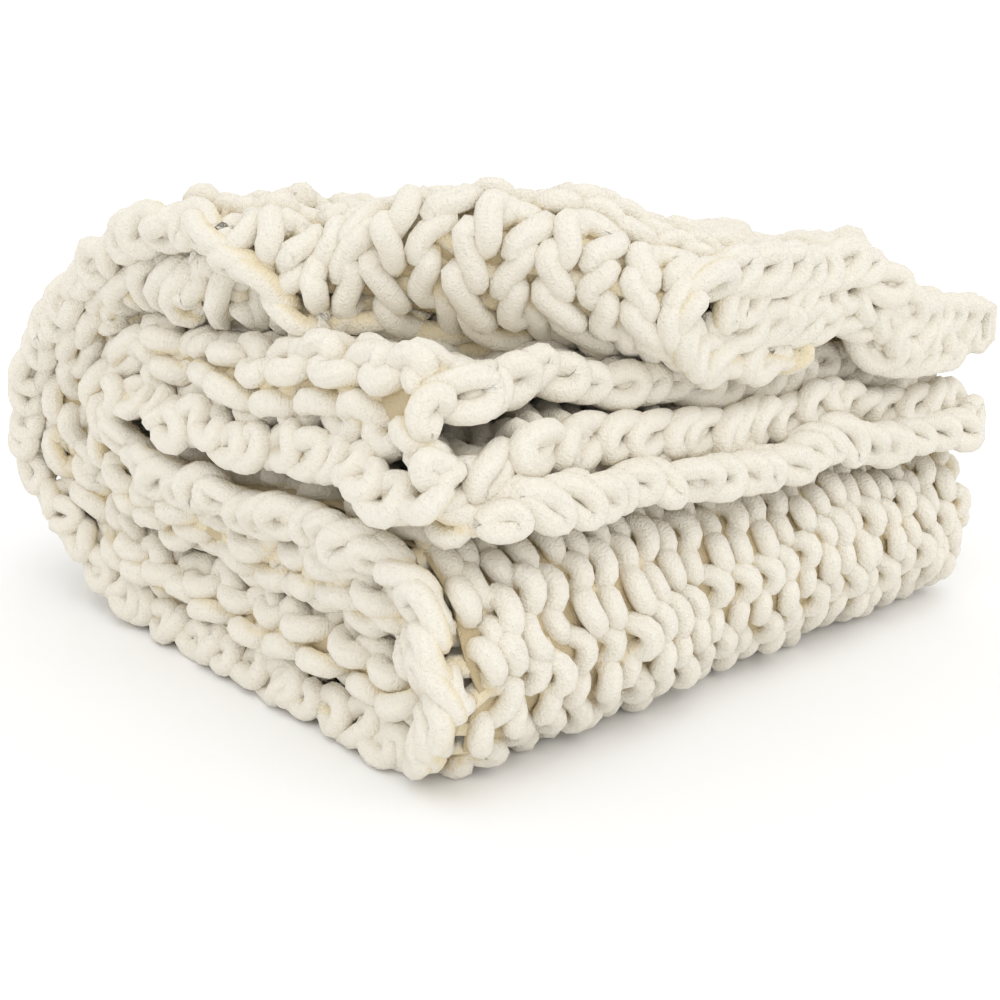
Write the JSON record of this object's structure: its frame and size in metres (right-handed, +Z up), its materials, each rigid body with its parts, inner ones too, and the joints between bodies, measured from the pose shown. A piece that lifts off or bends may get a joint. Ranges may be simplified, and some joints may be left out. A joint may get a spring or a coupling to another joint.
{
  "type": "folded knit throw blanket",
  "caption": "Chunky knit throw blanket, folded in thirds and wound into a thick rectangular bundle with stacked front edges.",
  "frame": {"origin": "centre of the bundle's bounding box, at the surface that it lies on", "axes": "+X along the front of the bundle toward its narrower end, -Y toward the front, +Z up"},
  "size_m": [0.4592, 0.4562, 0.2901],
  "materials": {
    "yarn": "soft cream chenille yarn in a chunky knit"
  },
  "bodies": {
    "root": {"knit_blanket": "yarn"}
  },
  "joints": []
}
